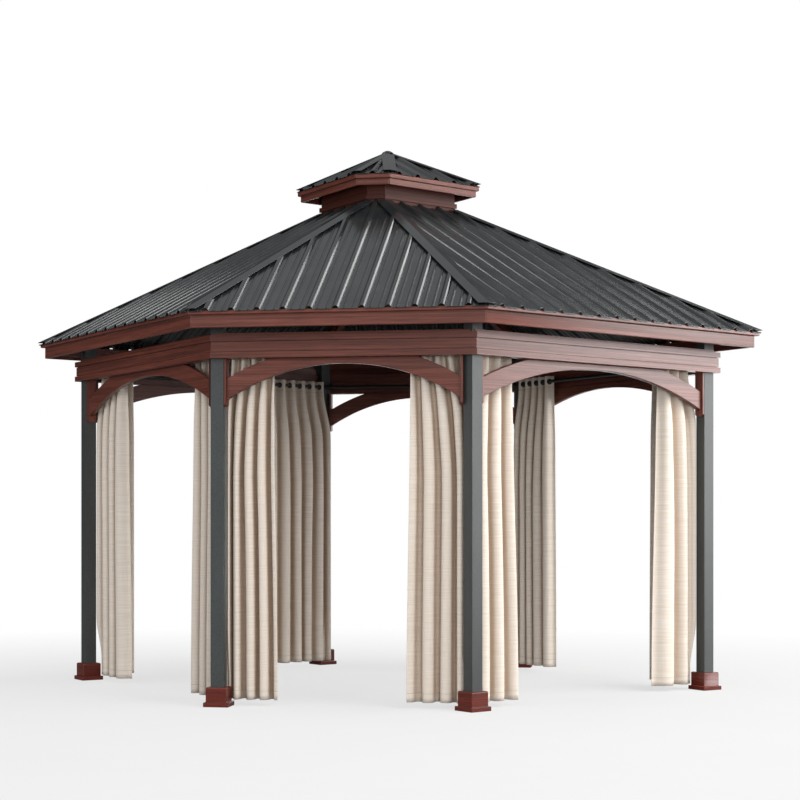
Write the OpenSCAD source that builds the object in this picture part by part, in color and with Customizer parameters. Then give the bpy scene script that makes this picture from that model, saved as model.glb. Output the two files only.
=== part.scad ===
// Six-post metal gazebo with a two-tier ribbed roof, wood-look beams and curtains

/* [Plan] */
// Distance between the two end posts, centre to centre
post_span = 4320; // [3900:10:4800]
// Distance between the front and the back pair of posts
post_depth = 3060; // [2700:10:3300]
// Angle between the slanted bays and the front bay
slant = 48; // [46:1:52]

/* [Posts] */
// Side of the square post tube
post_w = 80; // [60:1:90]
// Wall of the post tube
post_wall = 3; // [2:0.5:5]
// Side of the foot plate under each post
foot_w = 124; // [118:1:128]
// Thickness of the foot plate
foot_t = 6; // [4:1:10]
// Distance of each anchor hole from the post faces' middle lines
foot_hole_at = 51; // [50:0.5:52]
// Diameter of the anchor holes
foot_hole_d = 10; // [8:0.5:12]

/* [Base covers] */
// Side of the lower step of the base cover
cover_low_w = 156; // [150:1:170]
// Height of the lower step of the base cover
cover_low_h = 27; // [15:1:40]
// Side of the upper box of the base cover
cover_w = 130; // [126:1:140]
// Height of the whole base cover
cover_h = 118; // [90:1:160]
// Wall of the base cover
cover_wall = 7; // [4:0.5:9]
// Bevel round the top of the base cover
cover_bevel = 5; // [2:0.5:6]

/* [Ring beam] */
// Height of the underside of the ring beam
beam_z = 2120; // [2000:10:2300]
// Height of the middle board of the ring beam
beam_board_h = 67; // [50:1:90]
// Height of the strip above and below the middle board
beam_strip_h = 35; // [25:1:45]
// Outer face of the middle board, out from the post line
beam_board_out = 68; // [60:1:70]
// Inner face of the middle board, out from the post line
beam_board_in = 14; // [8:1:20]
// How far the strips stand proud of the middle board
beam_strip_proud = 9; // [6:1:20]
// Height of the grooves between the middle board and the strips
beam_groove = 4; // [2:0.5:6]
// Depth of those grooves
beam_groove_depth = 8; // [4:1:12]
// Width of the plate along the beam's inner top edge
plate_w = 40; // [30:1:50]
// Height of that plate
plate_h = 16; // [10:1:20]

/* [Arches] */
// Thickness of the arch boards
arch_t = 36; // [25:1:45]
// Depth of the arch boards, measured across the curve
arch_depth = 110; // [90:1:130]
// Gap from the beam down to the crown of the arch
arch_crown = 35; // [25:1:50]
// How far the arch's lower tips hang under the beam
arch_drop = 250; // [220:1:300]
// Width of the cleats on the posts
cleat_w = 68; // [50:1:74]
// Thickness of the cleats
cleat_t = 15; // [10:1:20]
// Length of the cleats under the beam
cleat_h = 292; // [270:1:340]
// Bevel at the lower corners of the cleats
cleat_bevel = 14; // [6:1:20]

/* [Curtain rods and curtains] */
// Diameter of the curtain rods
rod_d = 24; // [16:1:26]
// How far the rods stand inside the post line
rod_in = 78; // [76:1:100]
// Height of the rods above the beam's underside
rod_up = 48; // [46:1:58]
// Width of an evenly gathered curtain along its rod
curtain_w = 330; // [280:5:380]
// Depth of the curtain's folds, from side to side
curtain_fold = 80; // [60:1:84]
// Number of folds in an evenly gathered curtain
curtain_folds = 4; // [3:1:6]
// Thickness of the curtain solid
curtain_t = 4; // [3:0.5:6]
// Curtain top above the rod's middle
curtain_head = 40; // [30:1:50]
// Curtain's lower edge above the floor
curtain_floor = 37; // [20:1:80]

/* [Eaves] */
// Outer face of the eave board, out from the post line
eave_out = 243; // [200:1:280]
// Thickness of the eave board
eave_t = 22; // [16:1:30]
// Gap between the ring beam's top and the eave board
eave_gap = 30; // [20:1:60]
// Height of the eave board
eave_board_h = 77; // [60:1:100]
// Height of the cap strip on the eave board
eave_cap_h = 23; // [15:1:30]
// How far the cap strip stands proud of the eave board
eave_cap_proud = 25; // [15:1:30]

/* [Roof sheets] */
// Thickness of the roof sheets
sheet_t = 2; // [1.5:0.5:3]
// Distance between the main ribs
rib_pitch = 158; // [130:2:180]
// Height of the main ribs
rib_h = 16; // [12:1:20]
// Width of a main rib at its foot
rib_foot = 48; // [36:1:56]
// Width of a main rib at its top
rib_top = 18; // [12:1:24]
// Height of the small flutes between the ribs
flute_h = 3; // [2.5:0.5:6]
// Width of a small flute at its foot
flute_foot = 16; // [12:1:20]
// Width of a small flute at its top
flute_top = 6; // [4:1:8]
// How far the sheets reach past the eave cap
sheet_over = 12; // [6:1:20]
// How far the cupola's sheets reach past their eave
cupola_sheet_over = 6; // [4:1:12]
// Rise of the main roof from the eave to the cupola
roof_rise = 862; // [780:2:940]
// Width of each wing of the main hip caps, in plan
hip_w = 54; // [40:1:80]

/* [Rafters] */
// Width of the hip rafters
rafter_w = 46; // [36:1:56]
// Depth of the hip rafters
rafter_h = 70; // [55:1:85]
// Drop from the roof sheets to the rafters' upper face
rafter_drop = 10; // [8:1:16]
// Width of the crown ring's members
crown_w = 60; // [45:1:70]
// Height of the crown ring's members
crown_h = 80; // [60:1:100]

/* [Cupola] */
// Length of the cupola wall, corner to corner
cupola_span = 934; // [880:2:1000]
// Width of the cupola wall, from front to back
cupola_depth = 904; // [860:2:940]
// Thickness of the cupola wall
cupola_wall_t = 18; // [12:1:24]
// Height of the cupola's eave above the main roof's upper edge
cupola_rise = 170; // [160:1:190]
// How far the cupola's eave stands out from its wall
cupola_over = 127; // [110:1:140]
// Rise of the cupola roof from its eave to its apex
cupola_roof_rise = 240; // [200:1:280]
// Height of the cap strip of the cupola's eave
cupola_cap_h = 31; // [20:1:40]
// Height of the board under that cap strip
cupola_board_h = 41; // [30:1:50]
// How far the board is set back from the cap strip
cupola_board_back = 16; // [10:1:20]
// Height of the strip at the foot of the cupola wall
cupola_strip_h = 30; // [20:1:36]
// Height of that strip above the main roof's upper edge
cupola_strip_up = 24; // [22:1:40]
// Width of each wing of the cupola's hip caps, in plan
cupola_hip_w = 44; // [36:1:54]
// Radius of the round cap on the apex
apex_r = 40; // [34:1:60]

/* [Hidden] */
$fn = 48;
fit = 0.3;
past = 1;
far = 600;
sheet_side = 6;
strip_proud = 12;
cap_over = 3;
cap_tail = 0.1;
cap_start = 0.02;
apex_swell = 1.15;
apex_steps = 6;
fascia_t = 18;
rod_end_gap = 16;
socket_l = 12;
socket_wall = 4;
bracket_t = 10;
bracket_plate_w = 24;
bracket_plate_t = 4;
curtain_gap = 8;
flap_gap = 6;
eyelet_room = 3;
post_plug = 30;
half_span = post_span / 2;
half_depth = post_depth / 2;
beam_h = 2 * beam_strip_h + beam_board_h;
beam_top = beam_z + beam_h;
beam_out = beam_board_out + beam_strip_proud;
beam_in = beam_board_in - beam_strip_proud;
rod_z = beam_z + rod_up;
eave_z = beam_top + eave_gap;
eave_tip = eave_out + eave_cap_proud;
eave_in = eave_out - eave_t;
eave_top = eave_z + eave_board_h + eave_cap_h;
sheet_z = eave_top + fit;
crown_top_z = sheet_z + roof_rise;
wall_gap = 3;
crown_reach = 22;
wall_half_span = cupola_span / 2;
wall_half_depth = cupola_depth / 2;
cupola_eave_z = crown_top_z + cupola_rise;
apex_z = cupola_eave_z + cupola_roof_rise;
cap_gap = 3;
cap_lift = rib_h + sheet_t + cap_gap;
side_turn = [-slant, 0, slant, 180 - slant, 180, 180 + slant];

// Corner points of a hexagon, moved out by a distance, from the left end round by the front
function ring(half_a, half_d, out) =
    let (a = half_a + out / sin(slant), d = half_d + out, b = a - d / tan(slant))
    [[-a, 0], [-b, -d], [b, -d], [a, 0], [b, d], [-b, d]];
function post_ring(out) = ring(half_span, half_depth, out);
function wall_ring(out) = ring(wall_half_span, wall_half_depth, out);
function after(i) = (i + 1) % 6;
function before(i) = (i + 5) % 6;
function along(i) = [cos(side_turn[i]), sin(side_turn[i])];
function inward(i) = [-sin(side_turn[i]), cos(side_turn[i])];

// Distance of a side from the middle of the plan
function apothem(r, i) = -(r[i] * inward(i));

// Plan outline of the piece of a ring that belongs to one side
function side_plan(inner, outer, i, trim) = [
    outer[i] + trim * along(i),
    outer[after(i)] - trim * along(i),
    inner[after(i)] - trim * along(i),
    inner[i] + trim * along(i)
];

// Height and slope of the main roof's underside on one side
eave_ring = post_ring(eave_tip);
top_ring = wall_ring(wall_gap);
function roof_slope(i) = roof_rise / (apothem(eave_ring, i) - apothem(top_ring, i));
function roof_z(i, at) = sheet_z + roof_slope(i) * (apothem(eave_ring, i) - at);

// Height and slope of the cupola roof's underside on one side
cupola_ring = wall_ring(cupola_over);
function cupola_slope(i) = cupola_roof_rise / apothem(cupola_ring, i);
function cupola_z(i, at) = cupola_eave_z + cupola_slope(i) * (apothem(cupola_ring, i) - at);

// How far a post reaches from its middle along a direction
function post_reach(turn) = post_w / 2 * (abs(cos(turn)) + abs(sin(turn)));
function bay_length(i) = norm(post_ring(0)[after(i)] - post_ring(0)[i]);
function bay_turn(i) = (side_turn[after(i)] - side_turn[i] + 360) % 360;
function start_reach(i) = post_reach(0) + cleat_t;
function end_reach(i) = post_reach(bay_turn(i)) + cleat_t;

// Where a rod and a curtain start, past the meeting line with the next bay
function corner_shift(i, depth) = depth * tan(bay_turn(before(i)) / 2);
function rod_from(i) = corner_shift(i, rod_in) + rod_end_gap;
function curtain_from(i) =
    max(corner_shift(i, rod_in + curtain_fold / 2), rod_from(i) + socket_l) + curtain_gap;

// Where a curtain's edge hangs under the beam, clear of its post and of the next bay;
// the one at the back left is drawn round in front of its post
function post_side(i, second, depth) =
    second ? (post_w / 2 - depth * cos(bay_turn(i))) / sin(bay_turn(i)) : post_w / 2;
function wraps(i, second) = i == 5 && !second;
function flap_from(i, second) =
    let (depth = rod_in - curtain_fold / 2, corner = second ? after(i) : i)
    flap_gap + (wraps(i, second) ? 0
        : max(corner_shift(corner, depth + curtain_t), post_side(i, second, depth)));

// Lower edge, direction and slope of the hip line at a corner
function hip_run(i) = norm(eave_ring[i] - top_ring[i]);
function hip_turn(i) = atan2(top_ring[i][1] - eave_ring[i][1], top_ring[i][0] - eave_ring[i][0]);
function hip_pitch(i) = atan2(roof_rise, hip_run(i));

// Outline of the ribbed sheet, seen along the ribs
function bump(at, foot, top, high) = [
    [at - foot / 2, 0], [at - top / 2, high], [at + top / 2, high], [at + foot / 2, 0]
];
function rib_line(count) = [
    for (k = [-count : count])
        for (p = concat(
            bump(k * rib_pitch, rib_foot, rib_top, rib_h),
            bump((k + 1 / 3) * rib_pitch, flute_foot, flute_top, flute_h),
            bump((k + 2 / 3) * rib_pitch, flute_foot, flute_top, flute_h)
        )) p
];
function lifted(line, by) = [for (p = line) p + [0, by]];
function flipped(line, x, y) = [for (p = line) [x * p[0], y * p[1]]];
function reversed(line) = [for (k = [len(line) - 1 : -1 : 0]) line[k]];

// How loosely each curtain is gathered, bay by bay, next to its first and its second post
gather = [[1, 1.08], [0.8, 0.95], [0.86, 0.72], [0.9, 1.18], [1, 1], [1.22, 0.56]];
function panel_w(i, second) = curtain_w * gather[i][second ? 1 : 0];
function panel_folds(i, second) = round(curtain_folds * gather[i][second ? 1 : 0]);

// Middle line of a gathered curtain, from its post inwards, and the outline round it
fold_steps = 12;
fold_reach = (curtain_fold - curtain_t) / 2;
function fold_at(k, pitch) = [k / fold_steps * pitch, fold_reach * sin(360 * k / fold_steps)];
function fold_normal(k, pitch) =
    let (rise = fold_reach * cos(360 * k / fold_steps) * 2 * PI / pitch, size = sqrt(1 + rise * rise))
    [-rise / size, 1 / size];
function fold_side(first, last, pitch, by) = [
    for (k = [first : last]) fold_at(k, pitch) + by * curtain_t / 2 * fold_normal(k, pitch)
];
function fold_line(folds, pitch) = concat(
    fold_side(0, folds * fold_steps, pitch, 1),
    reversed(fold_side(0, folds * fold_steps, pitch, -1))
);
function flap_line(folds, pitch, edge) = concat(
    [[-edge, curtain_t / 2 - fold_reach]],
    fold_side(-fold_steps / 4, folds * fold_steps, pitch, 1),
    reversed(fold_side(-fold_steps / 4, folds * fold_steps, pitch, -1)),
    [[-edge, -curtain_t / 2 - fold_reach]]
);

// Places a piece at a post, turned to the bay that starts there
module at_post(i) {
    translate(concat(post_ring(0)[i], 0)) rotate(side_turn[i]) children();
}

// Upright square bar round the post's axis
module square_bar(w, low, high) {
    translate([-w / 2, -w / 2, low]) cube([w, w, high - low]);
}

// Everything above a hip rafter's underside, moved down by a distance
module above_rafter(i, by) {
    translate(concat(eave_ring[i], sheet_z))
        rotate([0, -hip_pitch(i), hip_turn(i)])
            translate([-far, -far, -(rafter_drop * cos(hip_pitch(i)) + rafter_h + by)])
                cube([hip_run(i) + 2 * far, 2 * far, 2 * far]);
}

// Square tube with a drilled foot plate, cut to the rafter above it
module post(i) {
    rise = tan(hip_pitch(i)) * norm(eave_ring[i] - post_ring(0)[i]);
    under = sheet_z + rise - rafter_drop - rafter_h - post_w;
    color("dimgray") difference() {
        at_post(i) difference() {
            union() {
                square_bar(post_w, 0, under + far);
                square_bar(foot_w, 0, foot_t);
            }
            square_bar(post_w - 2 * post_wall, foot_t, under - post_plug);
            for (x = [-1, 1], y = [-1, 1])
                translate([x * foot_hole_at, y * foot_hole_at, -past])
                    cylinder(d = foot_hole_d, h = foot_t + 2 * past);
        }
        above_rafter(i, fit);
    }
}

// Stepped sleeve round the foot of a post
module base_cover(i) {
    at_post(i) difference() {
        union() {
            square_bar(cover_low_w, 0, cover_low_h);
            square_bar(cover_w, 0, cover_h - cover_bevel);
            hull() {
                square_bar(cover_w, cover_low_h, cover_h - cover_bevel);
                square_bar(cover_w - 2 * cover_bevel, cover_low_h, cover_h);
            }
        }
        square_bar(post_w + 2 * fit, -past, cover_h + past);
        square_bar(foot_w + 2 * past, -past, foot_t + past);
        square_bar(cover_w - 2 * cover_wall, -past, cover_h - cover_wall);
    }
}

module post_base_covers() {
    color("saddlebrown") for (i = [0 : 5]) base_cover(i);
}

// Mitred board of a ring, between two distances from the post line
module post_line_board(i, inner, outer, low, high) {
    translate([0, 0, low])
        linear_extrude(high - low)
            polygon(side_plan(post_ring(inner), post_ring(outer), i, fit / 2));
}

// Stepped beam of one bay, notched round its two posts
module beam(i) {
    board_low = beam_z + beam_strip_h + beam_groove;
    board_high = beam_top - beam_strip_h - beam_groove;
    color("sienna") difference() {
        union() {
            post_line_board(i, beam_in, beam_out, beam_z, beam_z + beam_strip_h);
            post_line_board(i, beam_board_in, beam_board_out - beam_groove_depth, beam_z, beam_top);
            post_line_board(i, beam_board_in, beam_board_out, board_low, board_high);
            post_line_board(i, beam_in, beam_out, beam_top - beam_strip_h, beam_top);
            post_line_board(i, beam_in, beam_in + plate_w, beam_top - beam_strip_h, beam_top + plate_h);
        }
        for (c = [i, after(i)])
            at_post(c) square_bar(post_w + 2 * fit, beam_z - past, beam_top + plate_h + past);
    }
}

// Curved board of one bay: two true arcs, cut off under the beam and at the cleats
module arch(i) {
    left = start_reach(i) + fit;
    right = bay_length(i) - end_reach(i) - fit;
    half = (right - left) / 2;
    fall = arch_drop - arch_crown;
    inner_r = (half * half + fall * fall) / (2 * fall);
    color("sienna")
        translate(concat(post_ring(0)[i], beam_z - fit))
            rotate(side_turn[i])
                intersection() {
                    translate([left, -arch_t / 2, -arch_drop - arch_depth])
                        cube([right - left, arch_t, arch_drop + arch_depth]);
                    translate([left + half, 0, -arch_crown - inner_r])
                        rotate([90, 0, 0])
                            difference() {
                                cylinder(r = inner_r + arch_depth, h = 2 * arch_t, center = true, $fn = 180);
                                cylinder(r = inner_r, h = 3 * arch_t, center = true, $fn = 180);
                            }
                }
}

// Cleat that stands against a post under the beam and takes the end of an arch
module cleat(i, reach, post) {
    difference() {
        translate(concat(post_ring(0)[post], beam_z - fit))
            rotate(post == i ? side_turn[i] : side_turn[i] + 180)
                translate([reach - cleat_t, 0, 0])
                    rotate([90, 0, 90])
                        linear_extrude(cleat_t)
                            polygon([
                                [-cleat_w / 2, 0],
                                [-cleat_w / 2, cleat_bevel - cleat_h],
                                [cleat_bevel - cleat_w / 2, -cleat_h],
                                [cleat_w / 2 - cleat_bevel, -cleat_h],
                                [cleat_w / 2, cleat_bevel - cleat_h],
                                [cleat_w / 2, 0]
                            ]);
        at_post(post) square_bar(post_w + 2 * fit, beam_z - 2 * cleat_h, beam_top);
    }
}

module arch_cleats() {
    color("sienna") for (i = [0 : 5]) {
        cleat(i, start_reach(i), i);
        cleat(i, end_reach(i), after(i));
    }
}

// Rod of one bay, held at each end in the socket of a bracket on the beam
module curtain_rod(i) {
    from = rod_from(i);
    to = bay_length(i) - rod_from(after(i));
    plate_low = beam_strip_h + fit - rod_up;
    wall_y = fit - beam_board_in;
    translate(concat(post_ring(0)[i], rod_z))
        rotate(side_turn[i]) {
            translate([from, rod_in, 0]) rotate([0, 90, 0]) cylinder(d = rod_d, h = to - from);
            for (x = [from, to - socket_l]) {
                translate([x, rod_in, 0])
                    rotate([0, 90, 0]) cylinder(d = rod_d + 2 * socket_wall, h = socket_l);
                translate([x, wall_y, -bracket_t / 2]) cube([socket_l, rod_in - wall_y, bracket_t]);
                translate([x + (socket_l - bracket_plate_w) / 2, wall_y, plate_low])
                    cube([bracket_plate_w, bracket_plate_t, beam_board_h - 2 * fit]);
            }
        }
}

module curtain_rods() {
    color("black") for (i = [0 : 5]) curtain_rod(i);
}

// Gathered curtain hung on the rod of a bay, next to its first or its second post
module curtain(i, second) {
    corner = second ? after(i) : i;
    from = curtain_from(corner);
    width = panel_w(i, second);
    folds = panel_folds(i, second);
    edge = max(from - flap_from(i, second), width / folds / 4 + past);
    flap_top = beam_z - curtain_gap;
    x = second ? -1 : 1;
    y = wraps(i, second) ? -1 : 1;
    color("linen")
        translate(concat(post_ring(0)[corner], 0))
            rotate(side_turn[i])
                translate([x * from, rod_in, 0])
                    difference() {
                        union() {
                            translate([0, 0, curtain_floor])
                                linear_extrude(flap_top - curtain_floor)
                                    polygon(flipped(flap_line(folds, width / folds, edge), x, y));
                            translate([0, 0, flap_top])
                                linear_extrude(rod_z + curtain_head - flap_top)
                                    polygon(flipped(fold_line(folds, width / folds), x, y));
                        }
                        translate([-far, 0, rod_z - eyelet_room + fit])
                            rotate([0, 90, 0]) cylinder(d = rod_d + 2 * eyelet_room, h = 2 * far);
                    }
}

// Board with a cap strip along each eave
module eave_boards() {
    board_top = eave_z + eave_board_h;
    color("sienna") for (i = [0 : 5]) {
        post_line_board(i, eave_in, eave_out, eave_z, board_top);
        post_line_board(i, eave_in, eave_tip, board_top, eave_top);
    }
}

// Rafter under one hip, cut to the eave boards and to the crown ring
module hip_rafter(i) {
    lower = rafter_drop * cos(hip_pitch(i)) + rafter_h;
    difference() {
        intersection() {
            translate(concat(eave_ring[i], sheet_z))
                rotate([0, -hip_pitch(i), hip_turn(i)])
                    translate([-far, -rafter_w / 2, -lower])
                        cube([hip_run(i) / cos(hip_pitch(i)) + 2 * far, rafter_w, rafter_h]);
            linear_extrude(apex_z) polygon(post_ring(eave_in - fit));
        }
        linear_extrude(apex_z) polygon(wall_ring(crown_reach + fit));
    }
}

module hip_rafters() {
    color("sienna") for (i = [0 : 5]) hip_rafter(i);
}

// Mitred board of the cupola, between two distances from its wall
module wall_board(i, inner, outer, low, high) {
    translate([0, 0, low])
        linear_extrude(high - low)
            polygon(side_plan(wall_ring(inner), wall_ring(outer), i, fit / 2));
}

// Ring that the rafters, the roof sheets and the cupola stand on
crown_seat_z = min([for (i = [0 : 5]) roof_z(i, apothem(wall_ring(crown_reach), i))]) - fit;
module crown_ring() {
    color("dimgray") for (i = [0 : 5])
        wall_board(i, crown_reach - crown_w, crown_reach, crown_seat_z - crown_h, crown_seat_z);
}

// Places a sheet's frame on one side: x along the eave, y up the slope
module on_slope(r, i, z, slope) {
    translate(concat((r[i] + r[after(i)]) / 2, z))
        rotate(side_turn[i])
            rotate([atan(slope), 0, 0])
                children();
}

// Endless ribbed sheet of one side
module ribbed(r, i, length) {
    count = ceil(norm(r[after(i)] - r[i]) / 2 / rib_pitch) + 1;
    line = rib_line(count);
    translate([0, length + rib_pitch, 0])
        rotate([90, 0, 0])
            linear_extrude(length + 2 * rib_pitch)
                polygon(concat(lifted(line, sheet_t), reversed(line)));
}

// Ribbed sheet of one side of the main roof, cut to the hips
module roof_sheet(i) {
    length = (apothem(eave_ring, i) - apothem(top_ring, i)) * sqrt(1 + pow(roof_slope(i), 2));
    color("darkslategray") intersection() {
        on_slope(eave_ring, i, sheet_z, roof_slope(i)) ribbed(eave_ring, i, length);
        translate([0, 0, eave_z])
            linear_extrude(apex_z - eave_z)
                polygon(side_plan(top_ring, post_ring(eave_tip + sheet_over), i, sheet_side));
    }
}

// Plan strip beside a hip line, on the side of one roof face
function hip_strip(low, high, i, corner, w) =
    let (
        dir = (high - low) / norm(high - low),
        out = [-dir[1], dir[0]],
        across = (out * along(i)) * (corner == i ? 1 : -1) > 0 ? out : -out
    )
    [low, high, high + w * across, low + w * across];

// One wing of a hip cap, level above the sheet of its side
module hip_wing(r, i, z, slope, strip, low_ring) {
    turn = atan(slope);
    intersection() {
        on_slope(r, i, z, slope)
            translate([-post_span, -far, cap_lift * cos(turn)])
                cube([2 * post_span, post_span, sheet_t * cos(turn)]);
        translate([0, 0, eave_z]) linear_extrude(2 * apex_z) polygon(strip);
        translate([0, 0, eave_z]) linear_extrude(2 * apex_z) polygon(low_ring);
    }
}

// Bent cap over each hip of the main roof
module hip_caps() {
    low_ring = post_ring(eave_tip + sheet_over + cap_over);
    high_ring = wall_ring(strip_proud + cap_over);
    color("darkslategray") for (c = [0 : 5])
        difference() {
            union() for (i = [before(c), c]) {
                tail = eave_ring[c] - cap_tail * (top_ring[c] - eave_ring[c]);
                strip = hip_strip(tail, top_ring[c], i, c, hip_w);
                hip_wing(eave_ring, i, sheet_z, roof_slope(i), strip, low_ring);
            }
            linear_extrude(2 * apex_z) polygon(high_ring);
        }
}

// Upright walls of the cupola with a strip round their foot
module cupola_walls() {
    strip_z = crown_top_z + cupola_strip_up;
    color("sienna") for (i = [0 : 5]) {
        top = cupola_z(i, apothem(wall_ring(0), i)) - fit;
        wall_board(i, -cupola_wall_t, 0, crown_seat_z + fit, top);
        wall_board(i, -cupola_wall_t, strip_proud, strip_z, strip_z + cupola_strip_h);
    }
}

// Board with a cap strip along each eave of the cupola
module cupola_eave_boards() {
    cap_low = cupola_eave_z - fit - cupola_cap_h;
    back = cupola_over - cupola_board_back;
    color("sienna") for (i = [0 : 5]) {
        wall_board(i, back - fascia_t, cupola_over, cap_low, cupola_eave_z - fit);
        wall_board(i, back - fascia_t, back, cap_low - cupola_board_h, cap_low);
    }
}

// Ribbed sheet on each side of the cupola
module cupola_roof_sheets() {
    color("darkslategray") for (i = [0 : 5]) {
        length = apothem(cupola_ring, i) * sqrt(1 + pow(cupola_slope(i), 2));
        outer = wall_ring(cupola_over + cupola_sheet_over);
        intersection() {
            on_slope(cupola_ring, i, cupola_eave_z, cupola_slope(i)) ribbed(cupola_ring, i, length);
            translate([0, 0, crown_top_z])
                linear_extrude(far)
                    polygon([
                        outer[i] + sheet_side * along(i),
                        outer[after(i)] - sheet_side * along(i),
                        2 * sheet_side * (outer[i] + outer[after(i)]) / norm(outer[i] + outer[after(i)])
                    ]);
        }
    }
}

// Plan of one half of a side of the cupola, next to a corner, from near the middle outwards
function half_side(i, corner) =
    let (
        edge = 2 * cupola_ring[corner],
        centre = cupola_ring[i] + cupola_ring[after(i)],
        gap = fit * (corner == i ? along(i) : -along(i))
    )
    [cap_start * edge, edge, centre - gap, cap_start * centre - gap];

// Bent caps over the cupola's hips, and a round cap that sits on them at the apex
module cupola_hip_caps() {
    low_ring = wall_ring(cupola_over + cupola_sheet_over + cap_over);
    fall = cupola_roof_rise / cupola_ring[3][0];
    seat = apex_z + cap_lift + sheet_t + fit;
    rim = seat - fall * apex_r;
    swell = apex_swell * fall * apex_r;
    color("darkslategray") {
        for (c = [0 : 5])
            union() for (i = [before(c), c]) {
                strip = hip_strip((1 + cap_tail) * cupola_ring[c], [0, 0], i, c, cupola_hip_w);
                intersection() {
                    hip_wing(cupola_ring, i, cupola_eave_z, cupola_slope(i), strip, low_ring);
                    linear_extrude(2 * apex_z) polygon(half_side(i, c));
                }
            }
        rotate_extrude() polygon(concat(
            [[0, seat], [apex_r, rim]],
            [for (k = [apex_steps : -1 : 0])
                [apex_r * k / apex_steps, rim + sheet_t + swell * (1 - pow(k / apex_steps, 2))]]
        ));
    }
}

module post_left() post(0);
module post_front_left() post(1);
module post_front_right() post(2);
module post_right() post(3);
module post_back_right() post(4);
module post_back_left() post(5);
module beam_front_left() beam(0);
module beam_front() beam(1);
module beam_front_right() beam(2);
module beam_back_right() beam(3);
module beam_back() beam(4);
module beam_back_left() beam(5);
module arch_front_left() arch(0);
module arch_front() arch(1);
module arch_front_right() arch(2);
module arch_back_right() arch(3);
module arch_back() arch(4);
module arch_back_left() arch(5);
module roof_front_left() roof_sheet(0);
module roof_front() roof_sheet(1);
module roof_front_right() roof_sheet(2);
module roof_back_right() roof_sheet(3);
module roof_back() roof_sheet(4);
module roof_back_left() roof_sheet(5);
module curtain_front_left_a() curtain(0, false);
module curtain_front_left_b() curtain(0, true);
module curtain_front_a() curtain(1, false);
module curtain_front_b() curtain(1, true);
module curtain_front_right_a() curtain(2, false);
module curtain_front_right_b() curtain(2, true);
module curtain_back_right_a() curtain(3, false);
module curtain_back_right_b() curtain(3, true);
module curtain_back_left_a() curtain(5, false);
module curtain_back_left_b() curtain(5, true);

post_left();
post_front_left();
post_front_right();
post_right();
post_back_right();
post_back_left();
post_base_covers();
beam_front_left();
beam_front();
beam_front_right();
beam_back_right();
beam_back();
beam_back_left();
arch_front_left();
arch_front();
arch_front_right();
arch_back_right();
arch_back();
arch_back_left();
arch_cleats();
curtain_rods();
eave_boards();
hip_rafters();
crown_ring();
roof_front_left();
roof_front();
roof_front_right();
roof_back_right();
roof_back();
roof_back_left();
hip_caps();
cupola_walls();
cupola_eave_boards();
cupola_roof_sheets();
cupola_hip_caps();
curtain_front_left_a();
curtain_front_left_b();
curtain_front_a();
curtain_front_b();
curtain_front_right_a();
curtain_front_right_b();
curtain_back_right_a();
curtain_back_right_b();
curtain_back_left_a();
curtain_back_left_b();
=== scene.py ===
"""Looks of a six-post metal gazebo: finishes, hung curtains, floor, light and camera."""
import math

import bmesh
import bpy
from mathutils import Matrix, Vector, noise


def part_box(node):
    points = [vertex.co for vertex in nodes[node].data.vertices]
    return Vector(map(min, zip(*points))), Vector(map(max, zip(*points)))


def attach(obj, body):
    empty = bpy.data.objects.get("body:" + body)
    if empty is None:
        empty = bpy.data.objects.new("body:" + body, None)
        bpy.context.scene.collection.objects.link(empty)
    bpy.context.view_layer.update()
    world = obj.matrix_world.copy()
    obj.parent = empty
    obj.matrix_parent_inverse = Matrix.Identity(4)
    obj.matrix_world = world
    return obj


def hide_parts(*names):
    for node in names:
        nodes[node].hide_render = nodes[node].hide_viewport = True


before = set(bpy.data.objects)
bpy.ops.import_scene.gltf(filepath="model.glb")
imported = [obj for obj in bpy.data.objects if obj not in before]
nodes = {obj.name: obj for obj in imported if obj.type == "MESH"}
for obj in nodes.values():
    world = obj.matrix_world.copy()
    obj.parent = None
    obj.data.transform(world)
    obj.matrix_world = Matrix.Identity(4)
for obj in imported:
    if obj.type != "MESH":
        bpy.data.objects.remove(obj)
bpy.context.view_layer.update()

# Posts in order round the plan, and the bay that starts at each
POSTS = ["left", "front_left", "front_right", "right", "back_right", "back_left"]
BAYS = ["front_left", "front", "front_right", "back_right", "back", "back_left"]
CURTAINED = ["front_left", "front", "front_right", "back_right", "back_left"]


def post_at(i):
    """Foot of a post's axis."""
    low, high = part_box("post_" + POSTS[i % 6])
    middle = (low + high) / 2
    return Vector((middle.x, middle.y, 0))


def bay_frame(i):
    """First post of a bay, the direction along the bay and the direction into the plan."""
    start = post_at(i)
    along = (post_at(i + 1) - start).normalized()
    inward = Vector((-along.y, along.x, 0))
    return start, along, inward


def smooth(x, low, high):
    """Soft step from 0 at low to 1 at high."""
    t = min(max((x - low) / (high - low), 0.0), 1.0)
    return t * t * (3 - 2 * t)


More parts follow.
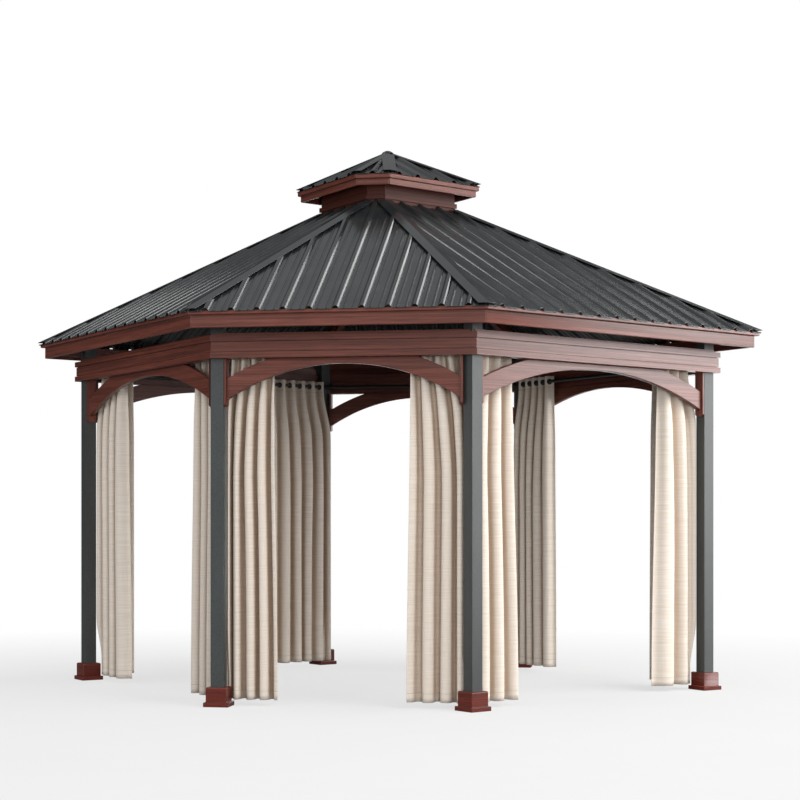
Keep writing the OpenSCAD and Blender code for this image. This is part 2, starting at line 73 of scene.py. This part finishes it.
class Graph:
    """Short calls for building the nodes of one material or of the world."""

    def __init__(self, owner):
        self.owner = owner
        owner.use_nodes = True
        self.tree = owner.node_tree
        self.tree.nodes.clear()

    def node(self, kind, inputs=None, **settings):
        made = self.tree.nodes.new(kind)
        for key, value in settings.items():
            setattr(made, key, value)
        for key, value in (inputs or {}).items():
            self.feed(made.inputs[key], value)
        return made

    def feed(self, socket, value):
        if isinstance(value, bpy.types.NodeSocket):
            self.tree.links.new(value, socket)
        else:
            socket.default_value = value

    def math(self, operation, a, b=0.0, clamp=False):
        made = self.node("ShaderNodeMath", {0: a, 1: b}, operation=operation, use_clamp=clamp)
        return made.outputs[0]

    def vector(self, operation, a, b=(0, 0, 0)):
        made = self.node("ShaderNodeVectorMath", {0: a, 1: b}, operation=operation)
        return made.outputs["Value" if operation in ("DOT_PRODUCT", "LENGTH") else "Vector"]

    def place(self):
        return self.node("ShaderNodeNewGeometry").outputs["Position"]

    def combine(self, x, y, z):
        return self.node("ShaderNodeCombineXYZ", {0: x, 1: y, 2: z}).outputs[0]

    def noise(self, vector, scale=1.0, detail=4.0, roughness=0.5):
        inputs = {"Vector": vector, "Scale": scale, "Detail": detail, "Roughness": roughness}
        return self.node("ShaderNodeTexNoise", inputs).outputs["Fac"]

    def remap(self, value, low, high, to_low, to_high, **settings):
        inputs = {0: value, 1: low, 2: high, 3: to_low, 4: to_high}
        return self.node("ShaderNodeMapRange", inputs, **settings).outputs[0]

    def mix(self, factor, a, b, blend="MIX"):
        made = self.node("ShaderNodeMix", {0: factor, 6: a, 7: b}, data_type="RGBA", blend_type=blend)
        return made.outputs[2]

    def ramp(self, value, stops):
        made = self.node("ShaderNodeValToRGB", {0: value})
        for at, colour in stops[1:-1]:
            made.color_ramp.elements.new(at).color = colour
        for index, (at, colour) in ((0, stops[0]), (-1, stops[-1])):
            made.color_ramp.elements[index].position = at
            made.color_ramp.elements[index].color = colour
        return made.outputs[0]

    def bump(self, height, distance, strength=1.0):
        inputs = {"Height": height, "Distance": distance, "Strength": strength}
        return self.node("ShaderNodeBump", inputs).outputs["Normal"]

    def finish(self, shader, output="ShaderNodeOutputMaterial"):
        """Links the last shader to the output and gives back what the nodes belong to."""
        self.node(output, {"Surface": shader})
        return self.owner


def rgb(red, green, blue):
    """Colour from display values, 0 to 255, as the linear colour that nodes take."""
    linear = [(v / 255) ** 2.2 for v in (red, green, blue)]
    return (*linear, 1.0)


SLANT = math.radians(48)
SIDE_NORMALS = [
    Vector((0, 1, 0)),
    Vector((math.sin(SLANT), math.cos(SLANT), 0)),
    Vector((math.sin(SLANT), -math.cos(SLANT), 0)),
]


def nearest_side(graph, reach, fall):
    """Distances along and out of the sides of a six-sided ring or hip roof, and the pick of the nearest.
    reach gives how far the front and the slanted sides stand from the middle, fall their slopes."""
    place = graph.place()
    out = [graph.vector("DOT_PRODUCT", place, n) for n in SIDE_NORMALS]
    past = [graph.math("SUBTRACT", graph.math("ABSOLUTE", o), r) for o, r in zip(out, reach)]
    far = [graph.math("MULTIPLY", p, f) for p, f in zip(past, fall)]
    run = [graph.vector("DOT_PRODUCT", place, Vector((n.y, -n.x, 0))) for n in SIDE_NORMALS]
    slanted = graph.math("GREATER_THAN", far[2], far[1])
    best = graph.math("MAXIMUM", far[1], far[2])
    front = graph.math("GREATER_THAN", far[0], best)

    def pick(values):
        inner = graph.node("ShaderNodeMix", {0: slanted, 2: values[1], 3: values[2]}).outputs[0]
        return graph.node("ShaderNodeMix", {0: front, 2: inner, 3: values[0]}).outputs[0]

    return run, out, pick


def board_grain(graph, reach):
    """Distance along and across the nearest board of a ring, for its grain."""
    run, out, pick = nearest_side(graph, reach, (1.0, 1.0, 1.0))
    height = graph.node("ShaderNodeSeparateXYZ", {0: graph.place()}).outputs[2]
    return pick(run), graph.math("ADD", height, pick(out))


def upright_grain(graph):
    """Grain that runs up and down."""
    parts = graph.node("ShaderNodeSeparateXYZ", {0: graph.place()}).outputs
    return parts[2], graph.math("ADD", parts[0], parts[1])


def level_grain(graph):
    """Grain that runs level round a small box."""
    parts = graph.node("ShaderNodeSeparateXYZ", {0: graph.place()}).outputs
    return graph.math("ADD", parts[0], parts[1]), parts[2]


def wood_look(name, grain, tones, roughness, *settings, shine=0.5):
    """Printed wood grain on painted metal: broad tone, streaks and fine fibres along the board."""
    graph = Graph(bpy.data.materials.new(name))
    along, across = grain(graph, *settings)

    def drawn_out(by_along, by_across, layer, detail, rough):
        """Noise that is drawn out along the board."""
        place = graph.combine(
            graph.math("MULTIPLY", along, by_along), graph.math("MULTIPLY", across, by_across), layer
        )
        return graph.noise(place, 1.0, detail, rough)

    broad = drawn_out(0.6, 22, 0.3, 4.0, 0.5)
    streak = drawn_out(0.9, 95, 4.7, 5.0, 0.65)
    fibre = drawn_out(6, 260, 9.1, 4.0, 0.65)
    blend = graph.math("ADD", graph.math("MULTIPLY", streak, 0.7), graph.math("MULTIPLY", broad, 0.3))
    dark, middle, light = tones
    colour = graph.ramp(blend, [(0.32, dark), (0.5, middle), (0.68, light)])
    pores = graph.remap(fibre, 0.32, 0.54, 0.56, 1.06)
    colour = graph.mix(1.0, colour, graph.combine(pores, pores, pores), "MULTIPLY")
    relief = graph.math("ADD", graph.math("MULTIPLY", fibre, 0.6), graph.math("MULTIPLY", streak, 0.4))
    shader = graph.node("ShaderNodeBsdfPrincipled", {
        "Base Color": colour,
        "Roughness": graph.remap(streak, 0.3, 0.7, roughness + 0.06, roughness - 0.06),
        "Normal": graph.bump(relief, 0.0005, 0.4),
        "Specular IOR Level": shine,
    })
    return graph.finish(shader.outputs[0])


# Roof ribs: their distance, and the place, half width and bulge of their flanks
RIB_PITCH = 0.158
FLANK_AT = 0.0165
FLANK_HALF = 0.0075
FLANK_BULGE = 0.0012


def rolled_flanks(graph, reach, fall, middle):
    """Normal that rounds the flanks of the ribs, as rolling leaves them.
    middle is how far the middle of a slanted eave lies from the foot of the square to it."""
    run, out, pick = nearest_side(graph, reach, fall)
    shifts = (0.0, -middle, middle)
    centred = [
        graph.math("ADD", r, graph.math("MULTIPLY", graph.math("SIGN", o), shift))
        for r, o, shift in zip(run, out, shifts)
    ]
    turns = graph.math("DIVIDE", pick(centred), RIB_PITCH)
    from_rib = graph.math("MULTIPLY", graph.math("PINGPONG", turns, 0.5), RIB_PITCH)
    across = graph.remap(from_rib, FLANK_AT - FLANK_HALF, FLANK_AT + FLANK_HALF, -1.0, 1.0)
    return graph.bump(graph.math("MULTIPLY", graph.math("MULTIPLY", across, across), -1.0), FLANK_BULGE)


def roof_metal(name, *sides):
    """Semi-gloss charcoal coating on rolled steel, with faint water streaks and dust."""
    graph = Graph(bpy.data.materials.new(name))
    place = graph.place()
    cloud = graph.noise(place, 1.7, 3.0, 0.5)
    stretched = graph.vector("MULTIPLY", place, (9, 9, 1.4))
    streak = graph.noise(stretched, 1.0, 3.0, 0.5)
    tone = graph.math("ADD", graph.math("MULTIPLY", cloud, 0.5), graph.math("MULTIPLY", streak, 0.5))
    colour = graph.ramp(tone, [(0.3, rgb(33, 35, 36)), (0.5, rgb(40, 42, 43)), (0.7, rgb(47, 50, 51))])
    shader = graph.node("ShaderNodeBsdfPrincipled", {
        "Base Color": colour,
        "Roughness": graph.remap(streak, 0.3, 0.7, 0.20, 0.24),
        "Specular IOR Level": 0.5,
    })
    if sides:
        graph.feed(shader.inputs["Normal"], rolled_flanks(graph, *sides))
    return graph.finish(shader.outputs[0])


def powder_coat(name, tones, roughness, grain_size):
    """Fine-grained powder coating with a slight change of tone along the piece."""
    graph = Graph(bpy.data.materials.new(name))
    place = graph.place()
    cloud = graph.noise(graph.vector("MULTIPLY", place, (6, 6, 1.4)), 1.0, 4.0, 0.5)
    grit = graph.noise(place, grain_size, 2.0, 0.6)
    tone = graph.math("ADD", graph.math("MULTIPLY", cloud, 0.3), graph.math("MULTIPLY", grit, 0.7))
    colour = graph.ramp(tone, [(0.3, tones[0]), (0.7, tones[1])])
    shader = graph.node("ShaderNodeBsdfPrincipled", {
        "Base Color": colour,
        "Roughness": graph.remap(grit, 0.3, 0.7, roughness - 0.06, roughness + 0.08),
        "Normal": graph.bump(grit, 0.0008, 0.5),
    })
    return graph.finish(shader.outputs[0])


# Cloth: its sewn hem and header, and the shade that gathers deep in its folds
HEM = 0.055
HEADER = 0.085
FOLD_SHADE = (0.59, 0.485, 0.39, 1)
FOLD_SHADE_REACH = 0.09
OPEN_CLOTH = (1, 1, 1, 1)
STITCH_SHADE = rgb(150, 128, 106)
LET_THROUGH = 0.12


def linen(name, height):
    """Loose linen weave with slubs both ways, a stitched hem and header, painted shade deep in its folds,
    and light let through.
    """
    graph = Graph(bpy.data.materials.new(name))
    flat = graph.node("ShaderNodeUVMap", uv_map="cloth").outputs[0]
    parts = graph.node("ShaderNodeSeparateXYZ", {0: flat}).outputs
    weft = graph.noise(graph.vector("MULTIPLY", flat, (4, 150, 1)), 1.0, 2.0, 0.5)
    warp = graph.noise(graph.vector("MULTIPLY", flat, (320, 5, 1)), 1.0, 2.0, 0.5)
    thread = graph.math("ADD", graph.math("MULTIPLY", weft, 0.7), graph.math("MULTIPLY", warp, 0.3))
    colour = graph.ramp(thread, [
        (0.26, rgb(220, 206, 190)), (0.5, rgb(235, 222, 208)), (0.74, rgb(244, 235, 224)),
    ])

    def seam(at):
        """1 along a line of stitching at that height, 0 elsewhere."""
        away = graph.math("ABSOLUTE", graph.math("SUBTRACT", parts[1], at))
        return graph.remap(away, 0.0008, 0.0028, 1.0, 0.0)

    # Painted shade: the cloth's colour darkens towards FOLD_SHADE where its folds close in
    reach = {"Distance": FOLD_SHADE_REACH}
    shade = graph.node("ShaderNodeAmbientOcclusion", reach, samples=8, only_local=True)
    open_share = graph.remap(shade.outputs["AO"], 0.15, 0.66, 0.0, 1.0)
    painted_fold_shade = graph.mix(open_share, FOLD_SHADE, OPEN_CLOTH)
    colour = graph.mix(1.0, colour, painted_fold_shade, "MULTIPLY")
    stitch = graph.math("MAXIMUM", seam(HEM), seam(height - HEADER))
    colour = graph.mix(graph.math("MULTIPLY", stitch, 0.35), colour, STITCH_SHADE)
    relief = graph.math("SUBTRACT", thread, graph.math("MULTIPLY", stitch, 0.8))
    normal = graph.bump(relief, 0.0007, 0.4)
    cloth = graph.node("ShaderNodeBsdfPrincipled", {
        "Base Color": colour,
        "Roughness": 0.86,
        "Normal": normal,
        "Specular IOR Level": 0.25,
        "Sheen Weight": 0.25,
        "Sheen Roughness": 0.45,
    })
    glow = graph.node("ShaderNodeBsdfTranslucent", {"Color": colour, "Normal": normal})
    both = graph.node("ShaderNodeMixShader", {0: LET_THROUGH, 1: cloth.outputs[0], 2: glow.outputs[0]})
    return graph.finish(both.outputs[0])


# Finishes of the CAD pieces
BROWN = (rgb(64, 31, 23), rgb(102, 54, 43), rgb(128, 74, 61))
# Darker copy of BROWN, as painted shade for the cupola walls, which stand in shade under the cupola's eave
SHADED_BROWN = (rgb(50, 25, 19), rgb(74, 40, 32), rgb(92, 53, 44))
RED_BROWN = (rgb(74, 26, 19), rgb(98, 39, 29), rgb(112, 48, 37))

# How far the front and the two slanted pairs of sides stand from the middle
PLAN_REACH = (1.53, 1.605, 1.605)
CUPOLA_REACH = (0.452, 0.347, 0.347)

# The same for the roofs' eaves, with the slopes of the sides and the middle of a slanted eave
ROOF_SIDES = ((1.798, 1.873, 1.873), (0.642, 0.566, 0.566), 0.477)
CUPOLA_SIDES = ((0.579, 0.474, 0.474), (0.415, 0.506, 0.506), 0.037)

ring_wood = wood_look("wood_look_ring", board_grain, BROWN, 0.36, PLAN_REACH)
cupola_wood = wood_look("wood_look_cupola", board_grain, BROWN, 0.36, CUPOLA_REACH)
# The cupola walls take the darker brown: painted shade from their eave
shaded_wall_wood = wood_look("wood_look_wall_shaded", board_grain, SHADED_BROWN, 0.42, CUPOLA_REACH, shine=0.2)
cleat_wood = wood_look("wood_look_cleat", upright_grain, BROWN, 0.42)
cover_wood = wood_look("wood_look_cover", level_grain, RED_BROWN, 0.3)
cap_charcoal = roof_metal("cap_charcoal")
roof_charcoal = roof_metal("roof_charcoal", *ROOF_SIDES)
cupola_charcoal = roof_metal("cupola_charcoal", *CUPOLA_SIDES)
post_coat = powder_coat("post_coating", (rgb(45, 48, 48), rgb(74, 77, 77)), 0.42, 190.0)
rod_coat = powder_coat("rod_coating", (rgb(26, 29, 31), rgb(42, 47, 50)), 0.32, 600.0)

FINISH = {
    "post_base_covers": cover_wood,
    "arch_cleats": cleat_wood,
    "cupola_walls": shaded_wall_wood,
    "cupola_eave_boards": cupola_wood,
    "crown_ring": post_coat,
    "curtain_rods": rod_coat,
    "hip_caps": cap_charcoal,
    "cupola_roof_sheets": cupola_charcoal,
    "cupola_hip_caps": cap_charcoal,
}


def finish_of(name):
    """Material of a CAD piece."""
    if name in FINISH:
        return FINISH[name]
    if name.startswith("post_"):
        return post_coat
    if name.startswith("roof_"):
        return roof_charcoal
    return ring_wood


# Rounding of the edges, by the start of a piece's name
EDGE = {
    "post_base": 0.008, "post": 0.004, "beam": 0.0016, "arch": 0.003, "eave": 0.004,
    "cupola_walls": 0.003, "cupola_eave": 0.005,
}


def soften_edges(piece, width):
    """Rounds the sharp edges of a CAD piece a little, as folded and painted metal has them."""
    weld = piece.modifiers.new("weld", "WELD")
    weld.merge_threshold = 0.00002
    flat = piece.modifiers.new("flat_faces", "DECIMATE")
    flat.decimate_type = "DISSOLVE"
    flat.angle_limit = math.radians(1)
    bevel = piece.modifiers.new("soft_edges", "BEVEL")
    bevel.width = width
    bevel.segments = 3
    bevel.limit_method = "ANGLE"
    bevel.angle_limit = math.radians(35)


for name, piece in nodes.items():
    if name.startswith("curtain_") and name != "curtain_rods":
        continue
    piece.data.materials.clear()
    piece.data.materials.append(finish_of(name))
    for start, width in EDGE.items():
        if name.startswith(start):
            soften_edges(piece, width)
            break


# Hung curtains: thickness, height above the rod, and the grid that the cloth is made on
CLOTH = 0.0016
HEAD = 0.040
COLUMNS_PER_FOLD = 44
HEADER_ROWS = 14
BODY_ROWS = 64

# Eyelets, and the holes behind them
EYELET_R = 0.0175
EYELET_TUBE = 0.0036
EYELET_DROP = 0.0017
EYELET_LEAN = 0.35
HOLE_R = 0.0178

# Base covers that the cloth hangs clear of
COVER_HALF = 0.065
COVER_TOP = 0.118
COVER_ROUND = 0.033
CLEAR = 0.005
FACES_IN = 0.3
LEANT_OVER = 0.4

# Folds: depth at the header and added below, wandering, roundness, fullness, creases and uneven hem
HEAD_DEPTH = 0.026
MORE_DEPTH = 0.014
DRIFT = 2.0
ROUNDNESS = 0.065
FULLNESS = 0.08
CREASE = 0.0012
SWAY = 0.003

# How each curtain hangs: folds, ends, widening to the hem, crowding at the post, and seeds of its noise
FOLDS = {
    "front_left": (4, 4), "front": (4, 4), "front_right": (3, 3), "back_right": (4, 5), "back_left": (5, 3),
}
WRAPPED = ("back_left", "a")
DRAWN_OUT = {("back_left", "a"): 0.060, ("back_right", "b"): 0.015}
FLARE = {"front": 0.022, "front_left": 0.045, "front_right": 0.045, "back_right": 0.015, "back_left": 0.0}
BUNCH = {"front": 0.74, "front_left": 0.86, "front_right": 0.8, "back_right": 0.82, "back_left": 0.86}
ENDS_INSIDE = [("front_left", "a"), ("front_right", "b"), ("back_right", "a"), ("back_left", "b")]
FIRST_SEED = 3.7
SEED_STEP = 11.3


class Panel:
    """Shape of one gathered curtain: a point for each place across and down the cloth."""

    def __init__(self, bay, side):
        node = nodes[f"curtain_{bay}_{side}"]
        index = BAYS.index(bay)
        first, along, self.inward = bay_frame(index)
        self.start = first if side == "a" else post_at(index + 1)
        self.along = along if side == "a" else -along
        corner = index if side == "a" else index + 1
        _, post_x, post_y = bay_frame(corner % 6)
        _, before, _ = bay_frame((corner + 5) % 6)
        self.half_turn = post_x.angle(before) / 2
        cover_sides = [post_x, post_y, -post_x, -post_y]
        self.cover_sides = [(n.dot(self.along), n.dot(self.inward)) for n in cover_sides]
        spots = [v.co - self.start for v in node.data.vertices]
        self.low = min(p.z for p in spots)
        self.top = max(p.z for p in spots)
        self.rod_z = self.top - HEAD
        hung = [p.dot(self.along) for p in spots if p.z > self.rod_z]
        depth = [p.dot(self.inward) for p in spots]
        self.from_s = min(hung)
        self.to_s = max(hung) + DRAWN_OUT.get((bay, side), 0.0)
        self.edge_s = min(p.dot(self.along) for p in spots)
        self.rod_in = (min(depth) + max(depth)) / 2
        self.folds = FOLDS[bay]["ab".index(side)]
        self.pitch = (self.to_s - self.from_s) / self.folds
        self.waves = self.folds - 0.5 if (bay, side) in ENDS_INSIDE else self.folds
        self.columns = int(self.waves * COLUMNS_PER_FOLD)
        self.facing = 1 if (bay, side) == WRAPPED else -1
        self.full = 1 if bay.startswith("front") else -1
        self.flare = FLARE[bay]
        self.bunch = BUNCH[bay]
        self.seed = SEED_STEP * (CURTAINED.index(bay) * 2 + (side == "b")) + FIRST_SEED

    def local(self, t, z):
        """Distance from the post along the bay, and off the rod's line towards the inside."""
        h = (self.top - z) / (self.top - self.low)
        spread = smooth(h, 0.03, 0.2)
        edge = self.from_s + (self.edge_s - self.from_s) * spread
        end = self.to_s + self.flare * smooth(h, 0.1, 1.0)
        drift = noise.noise((t * self.waves * 0.55 + self.seed, h * 0.55, 0.0))
        bunch = 1 + (self.bunch - 1) * smooth(h, 0.03, 0.4)
        pitch = self.pitch / (bunch * max(t, 0.05) ** (bunch - 1))
        turn = 2 * math.pi * self.waves * t ** bunch
        turn += DRIFT * drift * smooth(h, 0.0, 0.6) * math.sin(math.pi * t)
        swell = 0.8 + 0.4 * noise.noise((t * self.waves * 0.9 + self.seed, h * 0.5, 7.7))
        depth = HEAD_DEPTH + MORE_DEPTH * min(max(swell, 0.3), 1.0) * smooth(h, 0.03, 0.25)
        rounded = ROUNDNESS * pitch * math.sin(2 * turn) * (0.5 + 0.5 * spread)
        full = -self.full * self.facing * FULLNESS * pitch * math.sin(turn) * spread
        crease = CREASE * noise.noise((t * self.waves * 4 + self.seed, h * 1.6, 2.2))
        off = self.facing * depth * math.cos(turn) + crease
        s = edge + t * (end - edge) + rounded + full
        if self.facing > 0:
            return s, max(off, self.past_cover(s, z, off))
        corner = math.tan(self.half_turn)
        off = min(off, s / corner - self.rod_in - CLEAR)
        off = max(off, self.past_cover(s, z, off))
        return max(s, (self.rod_in + off + CLEAR) * corner), off

    def past_cover(self, s, z, off):
        """Place off the rod's line that clears the post's base cover, more and more towards the floor.
        The cover's sides that face along the bay are leant over, so that the cloth rounds their corner."""
        edges = []
        for along, inward in self.cover_sides:
            if inward > FACES_IN:
                edges.append((COVER_HALF + CLEAR - along * s) / inward)
            elif inward > -FACES_IN and along > 0:
                edges.append((COVER_HALF + COVER_ROUND - along * s) / LEANT_OVER)
        share = smooth(-z, -4 * COVER_TOP, -COVER_TOP - 3 * CLEAR)
        return off + (min(edges) - self.rod_in - off) * share

    def point(self, t, z):
        """Place in the scene of a point of the cloth."""
        s, off = self.local(t, z)
        place = self.start + self.along * s + self.inward * (self.rod_in + off)
        sway = SWAY * noise.noise((t * self.waves + self.seed, 5.1, 0.0)) * smooth(self.top - z, 1.4, 2.1)
        return Vector((place.x, place.y, z + sway))

    def heights(self):
        """Rows from the top edge down to the hem, closer together at the header."""
        step = HEADER / HEADER_ROWS
        upper = [self.top - k * step for k in range(HEADER_ROWS)]
        start = self.top - HEADER
        lower = [start + (self.low - start) * k / BODY_ROWS for k in range(BODY_ROWS + 1)]
        return upper + lower


def cloth_mesh(panel, name):
    """Cloth of a panel as a grid, with holes at the eyelets and its flat size as UV."""
    heights = panel.heights()
    columns = panel.columns
    rows = [[panel.point(k / columns, z) for k in range(columns + 1)] for z in heights]
    lengths = [sum((b - a).length for a, b in zip(row, row[1:])) for row in rows]
    flat_width = sum(lengths) / len(lengths)
    grid = bmesh.new()
    made = [[grid.verts.new(p) for p in row] for row in rows]
    layer = grid.loops.layers.uv.new("cloth")
    axis = panel.start + panel.inward * panel.rod_in
    for r in range(len(rows) - 1):
        for c in range(columns):
            corners = (made[r][c], made[r + 1][c], made[r + 1][c + 1], made[r][c + 1])
            middle = sum((v.co for v in corners), Vector()) / 4
            off = (middle - axis).dot(panel.inward)
            if math.hypot(off, middle.z - panel.rod_z + EYELET_DROP) < HOLE_R:
                continue
            face = grid.faces.new(corners)
            face.smooth = True
            for loop, (dr, dc) in zip(face.loops, ((0, 0), (1, 0), (1, 1), (0, 1))):
                loop[layer].uv = ((c + dc) / columns * flat_width, heights[r + dr] - panel.low)
    loose = [v for v in grid.verts if not v.link_faces]
    bmesh.ops.delete(grid, geom=loose, context="VERTS")
    mesh = bpy.data.meshes.new(name)
    grid.to_mesh(mesh)
    grid.free()
    return mesh, flat_width


def ring_mesh(grid, centre, across, steps=22, sides=8):
    """Adds one eyelet: a flattened ring standing in the cloth."""
    up = Vector((0, 0, 1))
    axis = across.cross(up).normalized()
    rings = []
    for i in range(steps):
        a = 2 * math.pi * i / steps
        out = across * math.cos(a) + up * math.sin(a)
        ring = []
        for j in range(sides):
            b = 2 * math.pi * j / sides
            swell = EYELET_R + EYELET_TUBE * math.cos(b)
            ring.append(grid.verts.new(centre + out * swell + axis * (0.7 * EYELET_TUBE * math.sin(b))))
        rings.append(ring)
    for i in range(steps):
        for j in range(sides):
            a, b = rings[i], rings[(i + 1) % steps]
            face = grid.faces.new((a[j], b[j], b[(j + 1) % sides], a[(j + 1) % sides]))
            face.smooth = True


def eyelet_mesh(panel, name):
    """Eyelets of a panel, where its cloth crosses the rod."""
    grid = bmesh.new()
    spots = [panel.local(k / panel.columns, panel.rod_z) for k in range(panel.columns + 1)]
    for (s0, off0), (s1, off1) in zip(spots, spots[1:]):
        if off0 * off1 > 0:
            continue
        share = off0 / (off0 - off1)
        centre = panel.start + panel.along * (s0 + share * (s1 - s0)) + panel.inward * panel.rod_in
        lean = min(max((s1 - s0) / (off1 - off0), -EYELET_LEAN), EYELET_LEAN)
        across = (panel.along * lean + panel.inward).normalized()
        ring_mesh(grid, centre + Vector((0, 0, panel.rod_z - EYELET_DROP)), across)
    bmesh.ops.recalc_face_normals(grid, faces=grid.faces)
    mesh = bpy.data.meshes.new(name)
    grid.to_mesh(mesh)
    grid.free()
    return mesh


def add_piece(name, mesh, material):
    """Puts a made piece in the scene, on the gazebo's one body."""
    piece = bpy.data.objects.new(name, mesh)
    bpy.context.scene.collection.objects.link(piece)
    mesh.materials.append(material)
    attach(piece, "root")
    return piece


sample = Panel("front", "a")
cream = linen("curtain_linen", sample.top - sample.low)

for bay in CURTAINED:
    for side in "ab":
        panel = Panel(bay, side)
        drape_name = f"drape_{bay}_{side}"
        mesh, flat_width = cloth_mesh(panel, drape_name)
        drape = add_piece(drape_name, mesh, cream)
        shell = drape.modifiers.new("thickness", "SOLIDIFY")
        shell.thickness = CLOTH
        shell.offset = 0.0
        ring_name = f"eyelets_{bay}_{side}"
        rings = add_piece(ring_name, eyelet_mesh(panel, ring_name), rod_coat)
        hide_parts(f"curtain_{bay}_{side}")


# Floor: its half width, its own glow, the grey that takes shade, and where it turns white
FLOOR_HALF = 60.0
FLOOR_GLOW = 0.655
FLOOR_GREYS = (0.187, 0.193)
BOUNCE_GREY = (0.22, 0.22, 0.22, 1)
WHITE = (1, 1, 1, 1)
FADE_MIDDLE = Vector((0, -2.4, 0))
FADE_FROM = 3.6
FADE_TO = 8.5


def floor_paint(name):
    """Pale backdrop paper: nearly white, with soft shade, and only a dim bounce up into the gazebo."""
    graph = Graph(bpy.data.materials.new(name))
    place = graph.place()
    mottle = graph.noise(place, 3.0, 3.0, 0.5)
    dark, light = [(grey, grey, grey, 1) for grey in FLOOR_GREYS]
    colour = graph.ramp(mottle, [(0.3, dark), (0.7, light)])
    plain = graph.node("ShaderNodeBsdfDiffuse", {"Color": colour})
    base = graph.node("ShaderNodeEmission", {"Color": WHITE, "Strength": FLOOR_GLOW})
    lit = graph.node("ShaderNodeAddShader", {0: plain.outputs[0], 1: base.outputs[0]})
    white = graph.node("ShaderNodeEmission", {"Color": WHITE, "Strength": 1.0})
    distance = graph.vector("LENGTH", graph.vector("SUBTRACT", place, FADE_MIDDLE))
    fade = graph.remap(distance, FADE_FROM, FADE_TO, 0.0, 1.0)
    shown = graph.node("ShaderNodeMixShader", {0: fade, 1: lit.outputs[0], 2: white.outputs[0]})
    dim = graph.node("ShaderNodeBsdfDiffuse", {"Color": BOUNCE_GREY})
    seen = graph.node("ShaderNodeLightPath").outputs["Is Camera Ray"]
    both = graph.node("ShaderNodeMixShader", {0: seen, 1: dim.outputs[0], 2: shown.outputs[0]})
    return graph.finish(both.outputs[0])


bpy.ops.mesh.primitive_plane_add(size=2 * FLOOR_HALF)
floor = bpy.context.object
floor.name = "floor"
floor.data.materials.append(floor_paint("floor_paint"))


# Light
def area_light(name, place, aim, size, power, colour=(1, 1, 1)):
    """Large soft light aimed at a point."""
    data = bpy.data.lights.new(name, "AREA")
    data.shape = "RECTANGLE"
    data.size, data.size_y = size
    data.energy = power
    data.color = colour
    light = bpy.data.objects.new(name, data)
    bpy.context.scene.collection.objects.link(light)
    light.location = place
    light.rotation_euler = (Vector(aim) - Vector(place)).to_track_quat("-Z", "Y").to_euler()
    light.visible_camera = False
    return light


# Points that the lights aim at
MIDDLE = (0, 0, 1.8)
ROOF = (0, -0.6, 2.8)
LEFT_ROOF = (-1.5, -0.8, 2.7)
CUPOLA = (0, 0, 3.45)
area_light("key", (6.5, -4.5, 8.0), MIDDLE, (5, 5), 520, (1.0, 0.99, 0.97))
area_light("right", (9.0, 0.4, 2.6), MIDDLE, (5, 4), 530)
area_light("front_fill", (4.3, -11.3, 2.2), MIDDLE, (3, 2.5), 330)
area_light("left_fill", (-8.0, -7.0, 2.2), MIDDLE, (5, 3.5), 220)
area_light("back_fill", (1.0, 9.5, 1.0), MIDDLE, (7, 2.5), 220)
area_light("front_ribs", (4.8, 6.9, 10.5), ROOF, (2.8, 2.8), 135)
area_light("cupola_sheen", (-2.0, 9.8, 10.0), CUPOLA, (4, 3), 8)
area_light("left_ribs", (-1.6, -1.25, 6.2), LEFT_ROOF, (0.8, 0.8), 17)

DOME_COLOUR = (0.97, 0.985, 1.0, 1)
DOME_TOP = 0.62


def dome_light(name):
    """White backdrop for the camera, and a soft dome, bright high in front and dim low at the back."""
    graph = Graph(bpy.data.worlds.new(name))
    outwards = graph.node("ShaderNodeTexCoord").outputs["Generated"]
    way = graph.node("ShaderNodeSeparateXYZ", {0: outwards}).outputs

    def share(axis, low, high, at_low, at_high):
        """Brightness that changes along one axis of the dome."""
        return graph.remap(way[axis], low, high, at_low, at_high, interpolation_type="SMOOTHSTEP")

    front = share(1, -0.7, 0.3, 0.9, 0.06)
    right = share(0, 0.3, 0.95, 0.0, 0.4)
    low = share(2, 0.05, 0.35, 0.62, 1.1)
    level = graph.math("ADD", graph.math("MULTIPLY", front, low), right)
    above = share(2, 0.55, 0.88, 0.0, 1.0)
    strength = graph.node("ShaderNodeMix", {0: above, 2: level, 3: DOME_TOP}).outputs[0]
    dome = graph.node("ShaderNodeBackground", {0: DOME_COLOUR, 1: strength})
    backdrop = graph.node("ShaderNodeBackground", {0: WHITE, 1: 1.0})
    seen = graph.node("ShaderNodeLightPath").outputs["Is Camera Ray"]
    both = graph.node("ShaderNodeMixShader", {0: seen, 1: dome.outputs[0], 2: backdrop.outputs[0]})
    return graph.finish(both.outputs[0], "ShaderNodeOutputWorld")


bpy.context.scene.world = dome_light("studio")
bpy.context.scene.view_settings.view_transform = "Standard"


# Camera: level, a little right of the front, framed upwards
CAMERA_AT = (2.040, -11.748, 1.157)
CAMERA_TURN = math.radians(9.44)
FOCAL_MM = 77.6
SENSOR_MM = 36.0
FRAMED_UP = 0.146
lens = bpy.data.cameras.new("camera")
lens.sensor_width = SENSOR_MM
lens.lens = FOCAL_MM
lens.shift_y = FRAMED_UP
lens.clip_end = 200.0
camera = bpy.data.objects.new("camera", lens)
bpy.context.scene.collection.objects.link(camera)
camera.location = CAMERA_AT
camera.rotation_euler = (math.radians(90), 0, CAMERA_TURN)
bpy.context.scene.camera = camera
